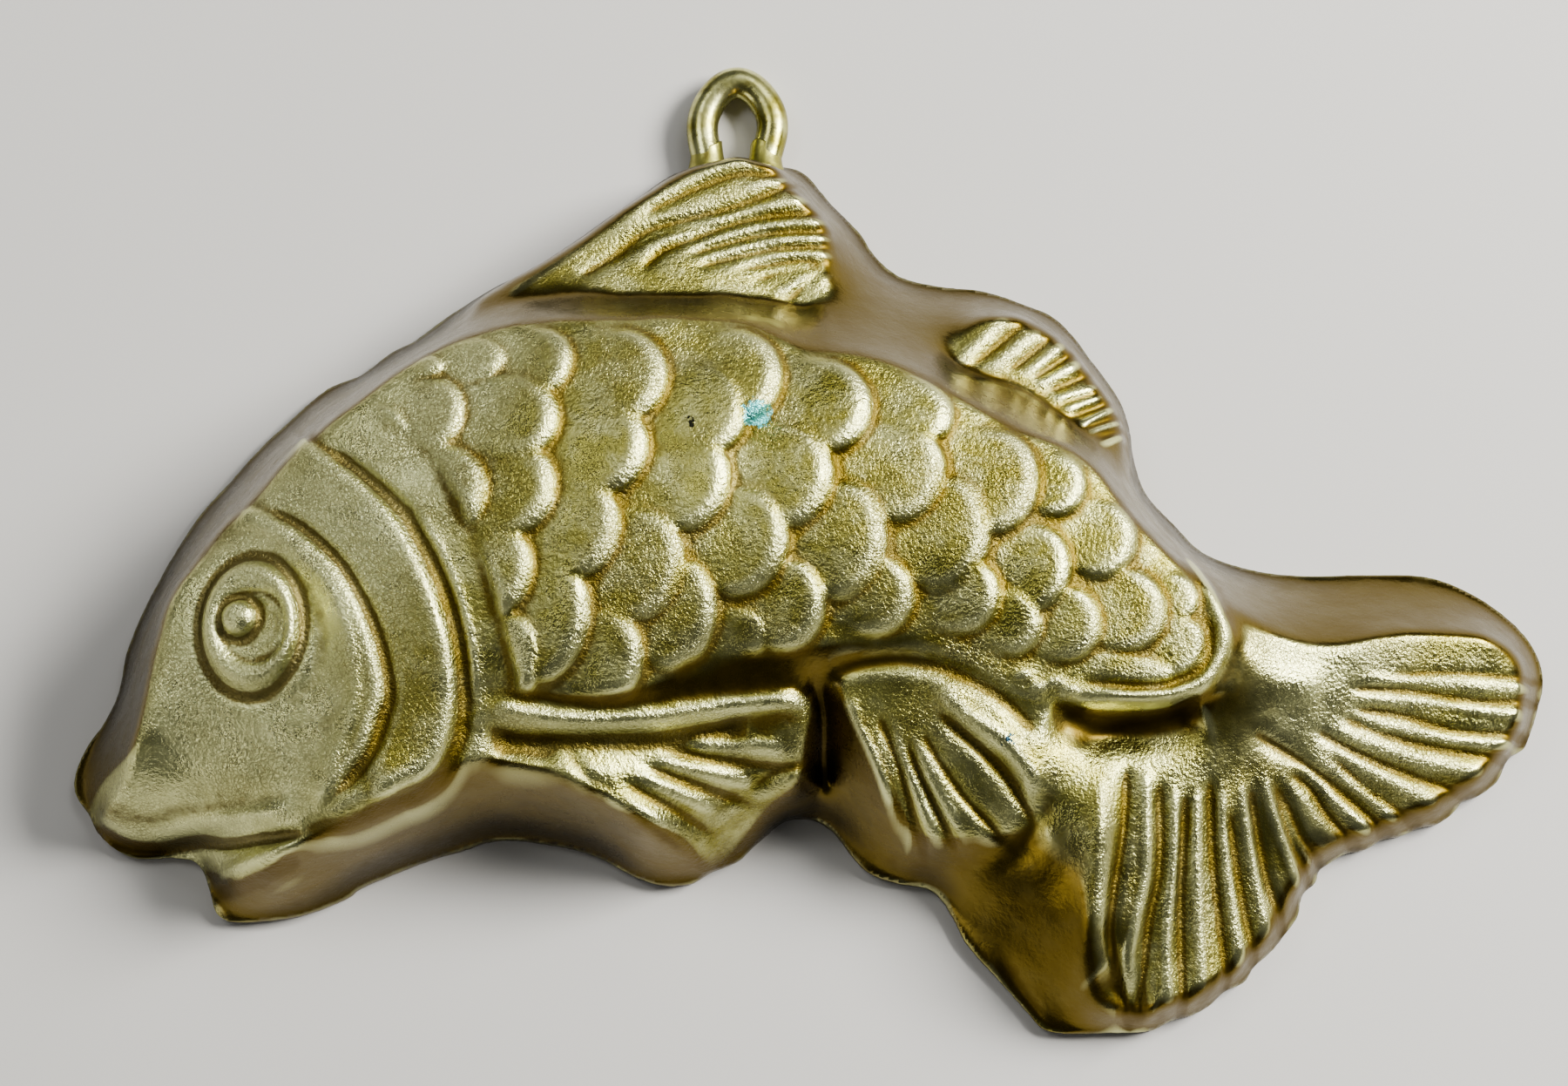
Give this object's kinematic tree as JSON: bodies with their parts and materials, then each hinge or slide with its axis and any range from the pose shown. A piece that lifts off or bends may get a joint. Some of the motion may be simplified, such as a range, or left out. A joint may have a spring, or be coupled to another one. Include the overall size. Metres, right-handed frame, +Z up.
{
  "type": "fish-shaped mould",
  "caption": "Deep-drawn brass mould in the shape of a leaping carp, hollow and open underneath, with shingled scales, ribbed fins and a round-wire loop for hanging.",
  "frame": {"origin": "centre of the bounding box, on the table plane that the rim stands on", "axes": "+X from the head towards the tail, +Y towards the back and the hanging loop, +Z up out of the open rim through the scales"},
  "size_m": [0.2695, 0.1819, 0.0441],
  "materials": {
    "brass_sheet": "aged brass, satin, finely crackled on the raised tops",
    "brass_wire": "rubbed brass, semi-polished",
    "braze_metal": "dull brazing metal"
  },
  "bodies": {
    "root": {"mould_shell": "brass_sheet", "hanging_loop": "brass_wire", "braze_fillets": "braze_metal"}
  },
  "joints": []
}
